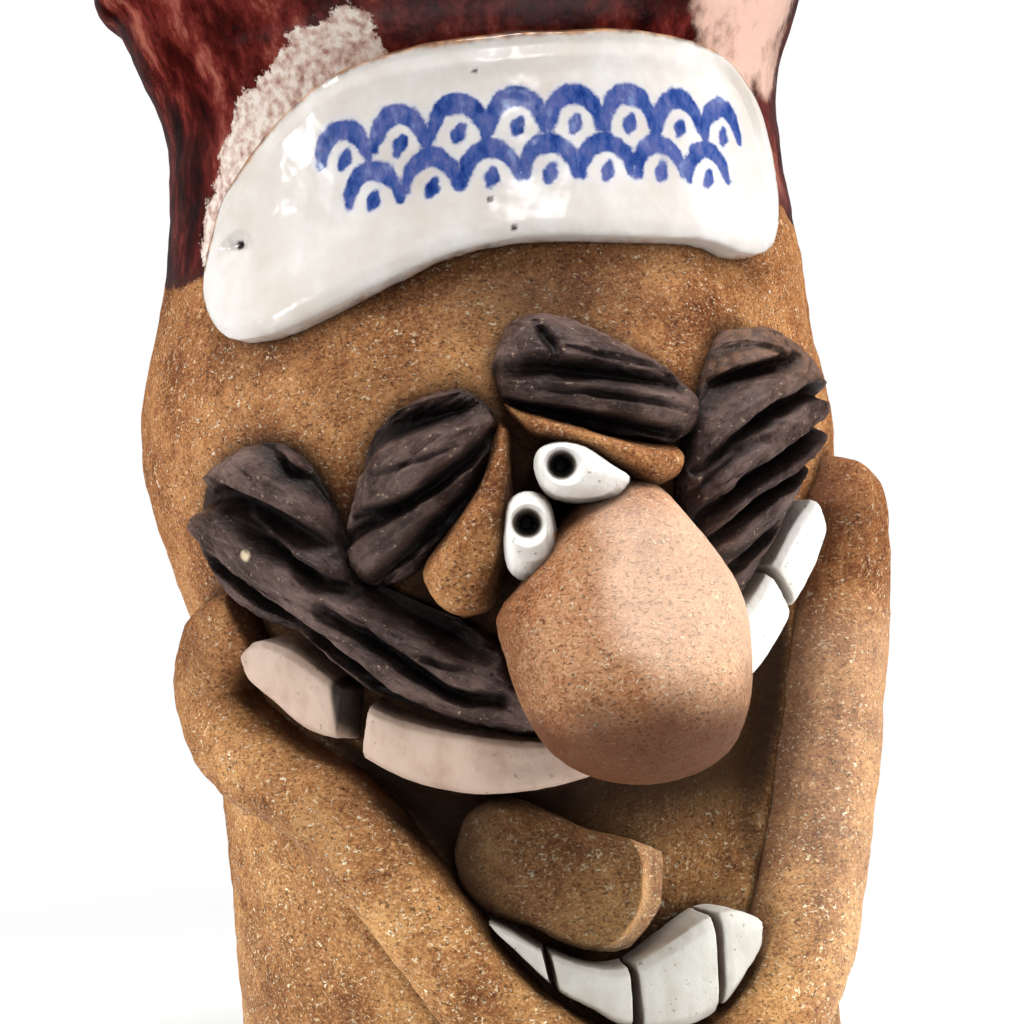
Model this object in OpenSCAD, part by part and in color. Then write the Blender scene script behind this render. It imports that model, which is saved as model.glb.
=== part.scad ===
// Stoneware face pot: a thrown, waisted pot with a rolled rim, and a comic
// laughing face built up on its front from separate pieces of clay.
// Millimetres. The origin is the centre of the foot, +Z is up, and the face
// looks along -Y. Left and right are as seen by someone facing the pot.

/* [Pot] */
// Height from the foot to the top of the rolled rim
pot_h = 184; // [160:1:210]
// Outer radius of the lower wall
foot_r = 44; // [40:0.5:48]
// How much wider the wall is behind the brows
swell = 7.6; // [4:0.1:10]
// Height of the swelling's middle
swell_z = 113; // [105:1:120]
// How much the collar flares above the neck
flare = 6.5; // [3:0.1:9]
// Thickness of the wall and of the floor
wall = 5; // [4:0.5:7]
// Radius of the rolled rim's bead
bead_r = 4; // [3:0.25:5]

/* [Face] */
// Thickness of the banner plaque
banner_t = 4; // [3:0.25:6]
// How far the brows stand off the wall
brow_t = 8; // [5:0.5:10]
// How far the moustache stands off the wall
moustache_t = 8.5; // [5:0.5:10]
// How far the teeth stand off the wall
tooth_t = 6; // [4:0.5:8]
// How far the lip stands off the wall
lip_t = 10; // [7:0.5:12]
// How far the tongue stands off the wall
tongue_t = 6; // [4:0.5:8]
// Radius of each eye's poked pupil
pupil_r = 1.9; // [1:0.1:2.5]
// How far the front of each eye stands forward of its back
eye_t = 10.5; // [8:0.5:12]

/* [Hidden] */

// Joints between clay pieces and the wall: the backs lie this far off it
bed = 0.06;
// Thickness left at the thin edge of every applied piece
feather = 0.5;
// Rise between two rings of the thrown wall's profile
ring_step = 2;
// How much wider the plain wall gets from the foot to the rim
taper = 1.5;
// How far the wall turns in at the foot, and over what height
foot_turn = 2;
foot_turn_h = 4;
// How far the swelling reaches below and above its middle
swell_below = 24;
swell_above = 21;
// Height where the collar's flare starts, and where the bead's centre is
flare_z = 157;
bead_z = pot_h - bead_r;
// Radius of the bead's centre line, just inside the top of the wall
bead_at = wall_r(bead_z) - 1.5;
// The floor rises a little towards the wall, and its corner is rounded
floor_t = 5.5;
corner_h = 4.5;
corner_run = 4;

clay = [0.66, 0.49, 0.35];
dark_clay = [0.24, 0.19, 0.19];
white_clay = [0.92, 0.90, 0.86];
cream_clay = [0.90, 0.82, 0.78];

// ---------------------------------------------------------------- curves

function clamp(v, low, high) = max(low, min(high, v));
function smooth(t) = let(c = clamp(t, 0, 1)) c * c * (3 - 2 * c);
function mix(a, b, t) = a + (b - a) * t;
function unit(v) = v / norm(v);

// Smooth curve through points a, b, c and d, between b and c
function span(a, b, c, d, t) =
    0.5 * (2 * b + (c - a) * t + (2 * a - 5 * b + 4 * c - d) * t * t
        + (3 * b - a - 3 * c + d) * t * t * t);

// Place s (0 to 1) along an open list of points or numbers
function along(list, s) =
    let(n = len(list) - 1, k = min(floor(s * n), n - 1))
    span(list[max(k - 1, 0)], list[k], list[k + 1], list[min(k + 2, n)], s * n - k);

// Place s (0 to 1) around a closed list of points
function around(list, s) =
    let(n = len(list), k = min(floor(s * n), n - 1))
    span(list[(k + n - 1) % n], list[k], list[(k + 1) % n], list[(k + 2) % n], s * n - k);

// Height of a rounded edge at t (-1 to 1); a higher power is squarer
function crown(t, power) = pow(max(0, 1 - pow(abs(t), power)), 1 / power);

// Outer radius of the thrown wall at height z
function wall_r(z) =
    foot_r + taper * z / pot_h - foot_turn * exp(-z / foot_turn_h)
    + swell * exp(-pow((z - swell_z) / (z < swell_z ? swell_below : swell_above), 2))
    + flare * smooth((z - flare_z) / (bead_z - flare_z));

// Point on the face: angle from the front, height, distance off the wall
function on_wall(angle, z, off) =
    let(r = wall_r(z) + off) [r * sin(angle), -r * cos(angle), z];

// ---------------------------------------------------------------- clay solids

// Faces of a grid of rows x cols points, numbered from start
function grid_faces(rows, cols, start, turn) = [
    for (i = [0:rows - 2], j = [0:cols - 2])
        let(a = start + i * cols + j, b = a + 1, c = a + cols, d = c + 1)
        each turn ? [[a, d, b], [a, c, d]] : [[a, b, d], [a, d, c]]
];

// Two triangles closing a quad
function quad(a, b, c, d) = [[a, b, c], [a, c, d]];

// A slab of clay bedded on the wall between an upper and a lower edge, both
// running left to right as [angle, height]. crest lists how far it stands off
// along its length, and edge_power and end_power set how square its long
// edges and its ends are.
module slab(upper, lower, crest, edge_power, end_power, steps, across) {
    places = [for (i = [0:steps]) let(u = i / steps) mix(u, (1 - cos(180 * u)) / 2, 0.6)];
    lines = [for (j = [0:across]) -cos(180 * j / across)];
    outer = [for (s = places, t = lines)
        let(p = mix(along(upper, s), along(lower, s), (t + 1) / 2),
            rise = (along(crest, s) - feather) * crown(t, edge_power) * crown(2 * s - 1, end_power))
        on_wall(p[0], p[1], bed + feather + rise)];
    inner = [for (s = places, t = lines)
        let(p = mix(along(upper, s), along(lower, s), (t + 1) / 2))
        on_wall(p[0], p[1], bed)];
    cols = across + 1;
    count = len(outer);
    last = count - cols;
    polyhedron(
        points = concat(outer, inner),
        faces = concat(
            grid_faces(steps + 1, cols, 0, true),
            grid_faces(steps + 1, cols, count, false),
            [for (j = [0:across - 1]) each quad(j, j + 1, count + j + 1, count + j)],
            [for (j = [0:across - 1])
                each quad(last + j + 1, last + j, count + last + j, count + last + j + 1)],
            [for (i = [0:steps - 1])
                each quad((i + 1) * cols, i * cols, count + i * cols, count + (i + 1) * cols)],
            [for (i = [0:steps - 1])
                let(a = i * cols + across)
                each quad(a, a + cols, count + a + cols, count + a)]));
}

// Edge of a coil that runs along path, [angle, height, half width]; side is
// 1 for the edge on the left of its run and -1 for the other
function coil_edge(path, side, s) =
    let(here = along(path, s),
        ahead = along(path, min(s + 0.01, 1)) - along(path, max(s - 0.01, 0)),
        r = wall_r(here[1]),
        run = unit([ahead[0] * PI / 180 * r, ahead[1]]),
        out = [-run[1], run[0]] * side * here[2])
    [here[0] + out[0] / r * 180 / PI, here[1] + out[1]];

// The same edge as a list of points for slab
function coil_line(path, side, n) = [for (i = [0:n]) coil_edge(path, side, i / n)];

// A closed solid through rings of points, each ring with the same count
module lofted(rings) {
    n = len(rings[0]);
    m = len(rings);
    middle = function(ring) [for (k = [0:2]) let(c = [for (p = ring) p[k]]) c * [for (p = ring) 1] / n];
    points = concat([for (ring = rings) each ring], [middle(rings[0]), middle(rings[m - 1])]);
    polyhedron(
        points = points,
        faces = concat(
            [for (i = [0:m - 2], j = [0:n - 1])
                let(a = i * n + j, b = i * n + (j + 1) % n)
                each quad(a, b, b + n, a + n)],
            [for (j = [0:n - 1]) [m * n, (j + 1) % n, j]],
            [for (j = [0:n - 1]) [m * n + 1, (m - 1) * n + j, (m - 1) * n + (j + 1) % n]]));
}

// A point, moved out to the wall's surface when it lies inside the pot
function clear_of_wall(p) =
    let(r = norm([p[0], p[1]]), least = wall_r(p[2]) + bed, k = max(r, least) / r)
    [p[0] * k, p[1] * k, p[2]];

// A white pellet with a round poked pupil. outline is [x, z] about the pupil,
// clockwise from the top; each of levels is [how far forward, scale of the
// outline, how far it has turned into the pupil's circle].
module pellet(place, outline, levels, n) {
    lofted([for (level = levels)
        [for (j = [0:n - 1])
            let(a = 360 * j / n,
                ring = pupil_r * level[1] * [sin(a), cos(a)],
                p = mix(around(outline, j / n) * level[1], ring, level[2]))
            place + [p[0], -level[0], p[1]]]]);
}

// ---------------------------------------------------------------- the pot

module pot_profile() {
    rings = floor(bead_z / ring_step);
    first = ceil((floor_t + corner_h) / ring_step);
    inner_r = wall_r(floor_t) - wall;
    polygon(concat(
        [[0, 0], [wall_r(0) - 1, 0]],
        [for (i = [0:rings]) let(z = max(1, i * ring_step)) [wall_r(z), z]],
        [[wall_r(bead_z), bead_z], [wall_r(bead_z) - wall, bead_z]],
        [for (i = [rings:-1:first]) let(z = i * ring_step) [wall_r(z) - wall, z]],
        [[inner_r - 0.2 * corner_run, floor_t + 0.4 * corner_h], [inner_r - corner_run, floor_t + 0.1 * corner_h],
            [0, floor_t]]));
}

module pot_body() {
    color(clay) rotate_extrude($fn = 96) {
        pot_profile();
        translate([bead_at, bead_z]) circle(r = bead_r, $fn = 32);
    }
}

// ---------------------------------------------------------------- the banner

banner_top = [
    [-49, 137], [-46.5, 145], [-40, 150.5], [-32, 156], [-22, 160.5], [-11, 162.5],
    [2, 163.3], [15, 163.6], [27, 163.7], [37, 163], [46, 161.5], [53, 158.5], [58, 153.5], [59.5, 146],
];
banner_bottom = [
    [-48.5, 133.5], [-45, 128.5], [-40, 125.5], [-33, 125.5], [-26, 127], [-17, 130],
    [-6, 133.4], [5, 135], [16, 135], [27, 134.2], [37, 133.8], [45, 132], [53, 133.5], [59, 141],
];

module banner_plaque() {
    color(white_clay) slab(banner_top, banner_bottom, [banner_t, banner_t], 5, 9, 30, 10);
}

// ---------------------------------------------------------------- brows and eyelids

module brow_left() {
    color(dark_clay) slab(
        [[-24, 95], [-22.5, 100], [-19.5, 106.5], [-17, 112], [-11, 115.5], [-4, 116.5], [0, 113.5]],
        [[-21.5, 91.5], [-15.5, 92], [-11, 95], [-7, 99], [-3, 103.5], [-0.5, 107.5], [1, 110.5]],
        [brow_t - 2, brow_t, brow_t, brow_t - 1.5], 2.2, 3, 20, 12);
}

module brow_right() {
    color(dark_clay) slab(
        [[0.5, 119], [3, 124.5], [8, 126], [14, 124], [20.5, 120.5], [26, 117], [30, 113]],
        [[1.5, 115], [4, 112.8], [8, 111.6], [13, 110], [19, 108.2], [25, 107.2], [29.5, 109.5]],
        [brow_t - 2, brow_t + 0.5, brow_t, brow_t - 2], 2.2, 3, 20, 12);
}

module eyelid_left() {
    color(clay) slab(
        [[-11, 89], [-12, 93], [-9, 96.8], [-5.8, 100.5], [-2.2, 105], [0.8, 112]],
        [[-7, 86.2], [-2.2, 87.2], [0.5, 91.5], [1.8, 98.5], [2.2, 104], [2.2, 111]],
        [9, 9.5, 9, 7.5, 5], 2.5, 4, 18, 10);
}

module eyelid_right() {
    color(clay) slab(
        [[1.5, 114.4], [6, 112.2], [11, 110.6], [16, 108.9], [21, 107.6], [26, 107]],
        [[2.5, 112.5], [5.5, 109.5], [10.5, 107.4], [15.5, 104.2], [20.8, 101.4], [26, 102.8]],
        [4, 7, 8, 8.5, 7], 2.3, 4, 18, 10);
}

// ---------------------------------------------------------------- eyes

// An eye's rings from its back, round its front and down into the pupil
eye_levels = [
    [0, 0.7, 0], [0.12 * eye_t, 0.9, 0], [0.35 * eye_t, 1, 0], [0.6 * eye_t, 0.97, 0],
    [0.8 * eye_t, 0.84, 0], [0.93 * eye_t, 0.68, 0.1], [0.99 * eye_t, 1.15, 0.85], [eye_t, 1, 1],
    [0.9 * eye_t, 0.8, 1], [0.75 * eye_t, 0.6, 1], [0.55 * eye_t, 0.4, 1],
];

module eye_left() {
    color(white_clay) pellet(
        [3.4, -50.8, 98.4],
        [[0, 4.3], [2.9, 3.2], [3.8, 0], [3.8, -4.2], [3.2, -6.9], [-0.4, -7.8], [-3, -6.1], [-3.4, -1.8], [-2.6, 2.8]],
        eye_levels, 28);
}

module eye_right() {
    color(white_clay) pellet(
        [8.3, -51.6, 105.5],
        [[0, 3.2], [3.6, 2.2], [6.8, -0.6], [9, -2.4], [6.6, -5], [2.2, -5.3], [-2, -4], [-3.6, -0.4], [-2.8, 2.4]],
        eye_levels, 28);
}

// ---------------------------------------------------------------- the nose

// Centre line, radius and how many radii deep its back and its front are,
// from the root between the eyes to the tip. The back is flattened against the
// wall, and the bridge is broad and flat.
nose_line = [
    [16, -50, 104, 2.5, 1.4, 1], [16, -52, 101.5, 5.8, 1.4, 1], [15.8, -54.5, 97.5, 9, 1.4, 1],
    [15.6, -55.5, 92.5, 12.6, 1.3, 0.92], [14.4, -58, 87, 16.2, 1.25, 0.86], [15, -60.5, 81, 16, 1.25, 0.97],
    [15.6, -62, 74.5, 14.8, 1, 1], [16, -62, 69, 12, 1, 1], [16.4, -61.6, 65.6, 7.6, 1, 1],
    [16.5, -61.4, 64.2, 2.5, 1, 1],
];

module nose() {
    color(clay) lofted([for (i = [0:22])
        let(here = along(nose_line, i / 22))
        [for (a = [0:12:348])
            let(depth = here[3] * sin(a) * (sin(a) > 0 ? here[4] : here[5]))
            clear_of_wall([here[0] + here[3] * cos(a), here[1] + depth, here[2]])]]);
}

// ---------------------------------------------------------------- the moustache

module moustache_left() {
    color(dark_clay) slab(
        [[-53, 102], [-48.5, 107], [-42, 110.5], [-35, 112], [-28.5, 109.5], [-25, 102.5], [-22.5, 94],
            [-15.5, 90], [-8.5, 87], [-2, 83.5], [2, 78], [6.5, 73]],
        [[-52.5, 99.5], [-50, 95], [-47.5, 91], [-43, 88], [-36, 86], [-30, 82], [-24, 78],
            [-17, 75], [-11, 73], [-4, 71.3], [2, 70.3], [6.5, 70]],
        [moustache_t - 3, moustache_t - 1, moustache_t, moustache_t, moustache_t - 1], 2.4, 4, 28, 12);
}

module moustache_right() {
    color(dark_clay) slab(
        [[36.5, 85.5], [33, 89.5], [30, 93.5], [27.5, 98.5], [27.5, 105], [31, 112], [35, 118.5], [40, 122.5]],
        [[38.5, 85.5], [42.5, 90.5], [46, 96], [50, 102], [55, 107], [55.5, 113.5], [51, 119.5], [45, 122.8]],
        [moustache_t - 3, moustache_t - 1, moustache_t, moustache_t, moustache_t - 2.5], 2.4, 4, 24, 12);
}

// ---------------------------------------------------------------- teeth

// A tooth, or a run of teeth, with a flat front and softened edges
module tooth(upper, lower, steps) {
    slab(upper, lower, [tooth_t, tooth_t], 5, 8, steps, 8);
}

module tooth_upper_left() {
    color(cream_clay) tooth(
        [[-46.5, 83.4], [-41, 85.8], [-35, 84.4], [-30.5, 81.5], [-26, 78.2]],
        [[-45, 80], [-41, 76.8], [-37, 73.8], [-33, 72], [-28.5, 71.2]], 12);
}

module tooth_upper_front() {
    color(cream_clay) tooth(
        [[-23.5, 76.4], [-17, 74], [-11, 72.4], [-4, 71], [4, 69.9], [12, 70.6], [20, 74], [28, 79]],
        [[-25.5, 69], [-18.5, 65.6], [-12, 63.6], [-5, 62.8], [3, 63], [12, 64.6], [22, 68.5], [31.5, 73]], 22);
}

module tooth_upper_right_inner() {
    color(cream_clay) tooth(
        [[29.5, 79.5], [34, 82], [38.5, 85.3], [42.6, 89.6]],
        [[33, 71.8], [38.5, 74.4], [44.5, 78.2], [49.4, 83]], 12);
}

module tooth_upper_right_outer() {
    color(cream_clay) tooth(
        [[43, 90], [46.8, 95.6], [51, 99]],
        [[49.6, 83.5], [54, 88.5], [56, 94.5]], 10);
}

// The lower teeth's biting edge and their bottoms, which the lip hides
bite = [[-7.5, 46.8], [-3, 44.8], [2, 42], [8, 39.6], [14, 39], [21, 41.6], [28.5, 44.4], [34, 44.5], [39, 42.5]];
gum = [[-5.6, 44.8], [-1.4, 40.6], [3, 36.6], [8.5, 33.5], [14, 30.5], [21, 29.5], [28, 30.5], [33.5, 34], [38, 38.5]];

// A lower tooth between two places along the bite
module lower_tooth(from, to) {
    gap = 0.0035;
    part = function(line) [for (i = [0:4]) along(line, mix(from + gap, to - gap, i / 4))];
    color(white_clay) tooth(part(bite), part(gum), 8);
}

module tooth_lower_1() { lower_tooth(0, 0.24); }
module tooth_lower_2() { lower_tooth(0.24, 0.52); }
module tooth_lower_3() { lower_tooth(0.52, 0.78); }
module tooth_lower_4() { lower_tooth(0.78, 1); }

// ---------------------------------------------------------------- tongue and lip

module tongue() {
    color(clay) slab(
        [[-12.5, 55.5], [-9.5, 60.8], [-3.5, 62.4], [3.5, 60.4], [11, 57], [17.5, 55.2], [23.5, 53]],
        [[-12, 51], [-7.5, 47], [-2.4, 45.2], [3, 43], [9, 41], [15.5, 40.8], [22.5, 46]],
        [tongue_t - 2, tongue_t, tongue_t, tongue_t], 3, 6, 18, 12);
}

// One coil runs from the left cheek, under the mouth and up to the right cheek
lip_line = [
    [-46, 88, 5], [-57, 84, 6.5], [-62, 75.6, 7.4], [-51, 69, 6.9], [-37, 63.5, 6.5], [-25, 54.5, 6.5],
    [-14.5, 42.8, 6.4], [-4.8, 32.2, 6.4], [5.6, 24.9, 6.8], [17, 22, 7.4], [28, 22, 7.5], [38, 26, 7.5],
    [47.6, 35, 7.4], [55, 47, 7], [61.6, 60, 7], [68.3, 72, 7.8], [72.8, 84, 8], [70.5, 94.6, 7.2],
    [64, 101, 5],
];

module lip() {
    color(clay) slab(coil_line(lip_line, 1, 54), coil_line(lip_line, -1, 54),
        [lip_t - 2, lip_t - 1, lip_t - 1, lip_t, lip_t, lip_t + 1.2, lip_t + 2, lip_t + 1], 2.6, 4, 60, 10);
}

pot_body();
banner_plaque();
brow_left();
brow_right();
eyelid_left();
eyelid_right();
eye_left();
eye_right();
nose();
moustache_left();
moustache_right();
tooth_upper_left();
tooth_upper_front();
tooth_upper_right_inner();
tooth_upper_right_outer();
tooth_lower_1();
tooth_lower_2();
tooth_lower_3();
tooth_lower_4();
tongue();
lip();
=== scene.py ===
"""Looks for the stoneware face pot.

Every piece starts from its CAD node: the node's mesh is copied, made fine and
then worked like clay, with lumps, grooves, dents and cuts placed on the wall
by angle from the front (degrees, + to the right) and height (mm).
"""

import math

import bpy
import numpy as np
from mathutils import Matrix, Vector
from mathutils.bvhtree import BVHTree

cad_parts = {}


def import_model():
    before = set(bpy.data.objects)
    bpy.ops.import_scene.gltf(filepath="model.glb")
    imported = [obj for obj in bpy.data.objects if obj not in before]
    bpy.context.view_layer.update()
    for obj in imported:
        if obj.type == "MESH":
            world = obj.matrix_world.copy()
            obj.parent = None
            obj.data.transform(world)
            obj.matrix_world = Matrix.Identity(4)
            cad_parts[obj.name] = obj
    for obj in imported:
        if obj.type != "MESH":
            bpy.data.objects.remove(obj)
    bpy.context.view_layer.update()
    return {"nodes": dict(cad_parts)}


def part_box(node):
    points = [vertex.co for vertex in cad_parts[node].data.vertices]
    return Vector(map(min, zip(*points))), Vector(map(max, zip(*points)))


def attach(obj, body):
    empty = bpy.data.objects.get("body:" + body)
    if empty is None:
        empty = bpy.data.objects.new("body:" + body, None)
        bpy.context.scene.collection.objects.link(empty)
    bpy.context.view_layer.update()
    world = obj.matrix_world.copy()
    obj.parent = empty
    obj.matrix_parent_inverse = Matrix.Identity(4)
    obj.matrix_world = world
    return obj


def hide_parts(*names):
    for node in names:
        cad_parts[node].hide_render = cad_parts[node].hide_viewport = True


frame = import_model()

MM = 0.001
# Radius at which the face is unrolled into flat millimetres
FACE_R = 51.0
# The rolled rim is a bead of this radius, and its middle is as far below the top
BEAD_R = 4.0
# Height of the pot's floor inside
FLOOR_MM = 6.0
# Where the pot's swelling is flatter on the viewer's right, and by how much
FLAT_Z = 120.0
FLAT_MM = 3.0

RNG = np.random.default_rng(11)
LATTICE = RNG.random((32, 32, 32))


# ---------------------------------------------------------------- numbers

def ease(t):
    """0 to 1, with a smooth start and end."""
    t = np.clip(t, 0, 1)
    return t * t * (3 - 2 * t)


def patch(angle, height, middle, reach):
    """A soft patch on the wall: 1 at its middle, fading over reach, both as (angle, height)."""
    return np.exp(-((angle - middle[0]) / reach[0])**2 - ((height - middle[1]) / reach[1])**2)


def lumps(points, size):
    """Smooth noise from -1 to 1 with features about size mm across."""
    q = points / size + 50.3
    cell = np.floor(q).astype(int)
    f = q - cell
    f = f * f * (3 - 2 * f)
    total = np.zeros(len(points))
    for corner in np.ndindex(2, 2, 2):
        weight = np.prod(np.where(corner, f, 1 - f), axis=1)
        at = (cell + corner) % 32
        total += weight * LATTICE[at[:, 0], at[:, 1], at[:, 2]]
    return 2 * total - 1


def polar(points):
    """Angle from the front in degrees, and distance from the axis."""
    return np.degrees(np.arctan2(points[:, 0], -points[:, 1])), np.hypot(points[:, 0], points[:, 1])


def flat(points):
    """Points of the face unrolled into flat millimetres."""
    angle, _ = polar(points)
    return np.stack([np.radians(angle) * FACE_R, points[:, 2]], 1)


def bend(line, each=8):
    """A smooth flat line in mm through [angle, height] places."""
    p = np.array(line, float)
    p[:, 0] = np.radians(p[:, 0]) * FACE_R
    p = np.vstack([2 * p[0] - p[1], p, 2 * p[-1] - p[-2]])
    out = []
    for a, b, c, d in zip(p[:-3], p[1:-2], p[2:-1], p[3:]):
        for t in np.arange(each) / each:
            out.append(0.5 * (2 * b + (c - a) * t + (2 * a - 5 * b + 4 * c - d) * t**2
                              + (3 * b - a - 3 * c + d) * t**3))
    out.append(p[-2])
    return np.array(out)


def to_line(places, line):
    """Distance to a flat line, how far along it (0 to 1), and the side."""
    a, b = line[:-1], line[1:]
    run = b - a
    length = np.maximum(np.hypot(run[:, 0], run[:, 1]), 1e-9)
    start = np.concatenate([[0], np.cumsum(length)])
    best = np.full(len(places), 1e9)
    share = np.zeros(len(places))
    side = np.zeros(len(places))
    for k in range(len(a)):
        rel = places - a[k]
        t = np.clip(rel @ run[k] / length[k]**2, 0, 1)
        gap = rel - t[:, None] * run[k]
        d = np.hypot(gap[:, 0], gap[:, 1])
        near = d < best
        best[near] = d[near]
        share[near] = (start[k] + t[near] * length[k]) / start[-1]
        side[near] = np.sign(run[k][0] * rel[near, 1] - run[k][1] * rel[near, 0])
    return best, share, side


def inside(places, outline):
    """Distance inside a closed flat outline in mm, negative outside it."""
    ring = np.vstack([outline, outline[:1]])
    hits = np.zeros(len(places), bool)
    x, y = places[:, 0], places[:, 1]
    for (ax, ay), (bx, by) in zip(ring[:-1], ring[1:]):
        crosses = (ay > y) != (by > y)
        hits ^= crosses & (x < (bx - ax) * (y - ay) / (by - ay + 1e-12) + ax)
    distance, _, _ = to_line(places, ring)
    return np.where(hits, distance, -distance)


# ---------------------------------------------------------------- the wall

def cad_tree(node):
    """A CAD node's surface, ready for rays and distances in metres."""
    mesh = frame["nodes"][node].data
    return BVHTree.FromPolygons([v.co for v in mesh.vertices], [p.vertices for p in mesh.polygons])


def wall_profile():
    """Heights and outer radii of the CAD pot's wall, in mm."""
    tree = cad_tree("pot_body")
    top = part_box("pot_body")[1][2] / MM - BEAD_R
    heights = np.linspace(0.3, top, 400)
    radii = []
    for z in heights:
        hit = tree.ray_cast(Vector((0.0003, 0.2, z * MM)), Vector((0, -1, 0)))[0]
        radii.append(hit.y / MM)
    return heights, np.array(radii)


WALL_Z, WALL_R = wall_profile()
RIM_Z = WALL_Z[-1]
BEAD_AT = WALL_R[-1] - BEAD_R


def wall_r(z):
    return np.interp(z, WALL_Z, WALL_R)


def stand_off(points):
    """How far points stand off the wall."""
    return polar(points)[1] - wall_r(points[:, 2])


def skew(points):
    """The thrown pot isn't quite round: its swelling is flatter on the viewer's right."""
    angle, _ = polar(points)
    reach = np.where(points[:, 2] < FLAT_Z, 16, 11)
    amount = FLAT_MM * np.exp(-((points[:, 2] - FLAT_Z) / reach)**2) * ease((angle - 20) / 45)
    amount *= ease((165 - angle) / 60) * (1 - 0.85 * ease(stand_off(points) / 4))
    out = points.copy()
    out[:, 0] -= amount
    return out


def gap_to(points, nodes, reach=6.0):
    """Distance in mm from points on the front half to the nearest of some CAD nodes, up to reach."""
    least = np.full(len(points), reach)
    front = np.flatnonzero(points[:, 1] < 0)
    for node in nodes:
        tree = cad_tree(node)
        for k in front:
            place, _, _, distance = tree.find_nearest(Vector(points[k] * MM), reach * MM)
            if place is not None:
                least[k] = min(least[k], distance / MM)
    return least


# ---------------------------------------------------------------- meshes

def build(name, points, faces, marks):
    """A smooth-shaded object from points in mm, with a value per point for each mark."""
    mesh = bpy.data.meshes.new(name)
    mesh.from_pydata((points * MM).tolist(), [], faces)
    for mark, values in marks.items():
        layer = mesh.attributes.new(mark, "FLOAT", "POINT")
        layer.data.foreach_set("value", np.asarray(values, np.float32))
    mesh.polygons.foreach_set("use_smooth", [True] * len(mesh.polygons))
    mesh.update()
    piece = bpy.data.objects.new(name, mesh)
    bpy.context.scene.collection.objects.link(piece)
    return piece


def refined(node, voxel, rounds):
    """A CAD node's mesh made even and fine: points in mm, and faces."""
    work = bpy.data.objects.new(node + "_work", frame["nodes"][node].data.copy())
    bpy.context.scene.collection.objects.link(work)
    remesh = work.modifiers.new("remesh", "REMESH")
    remesh.mode = "VOXEL"
    remesh.voxel_size = voxel * MM
    soften = work.modifiers.new("soften", "SMOOTH")
    soften.factor = 0.5
    soften.iterations = rounds
    mesh = bpy.data.meshes.new_from_object(work.evaluated_get(bpy.context.evaluated_depsgraph_get()))
    points = np.empty(len(mesh.vertices) * 3)
    mesh.vertices.foreach_get("co", points)
    faces = [tuple(p.vertices) for p in mesh.polygons]
    bpy.data.objects.remove(work)
    bpy.data.meshes.remove(mesh)
    return points.reshape(-1, 3) / MM, faces


def normals(points, faces):
    """Unit normals at the points of a mesh of quads."""
    quads = np.array(faces)
    across = np.cross(points[quads[:, 2]] - points[quads[:, 0]], points[quads[:, 3]] - points[quads[:, 1]])
    total = np.zeros_like(points)
    for k in range(4):
        np.add.at(total, quads[:, k], across)
    return total / np.maximum(np.linalg.norm(total, axis=1), 1e-12)[:, None]


def push_in(points, amount):
    """Move points towards the pot's axis by amount, each its own."""
    _, r = polar(points)
    k = (r - amount) / r
    return np.stack([points[:, 0] * k, points[:, 1] * k, points[:, 2]], 1)


def bed(points, depth):
    """Press the back of a piece into the wall by depth."""
    return push_in(points, depth * (1 - ease((stand_off(points) - 0.2) / 0.8)))


def carve(points, grooves, floor=1.2):
    """Cut V grooves, each (line, half width, depth), no deeper than floor off the wall.
    Returns the points and how deep in a cut each lies, 0 to 1, which the brows and moustache paint as shade."""
    places = flat(points)
    shade = np.zeros(len(points))
    for line, width, depth in grooves:
        distance, share, _ = to_line(places, bend(line))
        distance = distance + 0.25 * lumps(points + 13, 2.5)
        ends = np.sin(np.pi * np.clip(share, 0.04, 0.96))**0.3
        near = np.clip(1 - distance / width, 0, 1)
        cut = depth * ends * near**0.8
        cut = np.minimum(cut, np.maximum(stand_off(points) - floor, 0))
        shade = np.maximum(shade, ease(near * 1.5) * ends * min(1, depth / 3))
        points = push_in(points, cut)
    return points, shade


def worked(points, faces, big, small, fine=0.0, inset=0.1):
    """Hand-worked clay: lumps of three sizes along the surface's normals, and a little shrinkage, in mm."""
    n = normals(points, faces)
    amount = big * lumps(points, 9) + small * lumps(points + 31, 3.2) + fine * lumps(points + 67, 1.1) - inset
    return points + n * amount[:, None]


def finish_piece(name, points, faces, material, marks=None):
    """Put a worked piece in the scene in place of its CAD node."""
    piece = build(name + "_clay", skew(points), faces, marks or {})
    piece.data.materials.append(material)
    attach(piece, "root")
    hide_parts(name)


# ---------------------------------------------------------------- shader helpers

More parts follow.
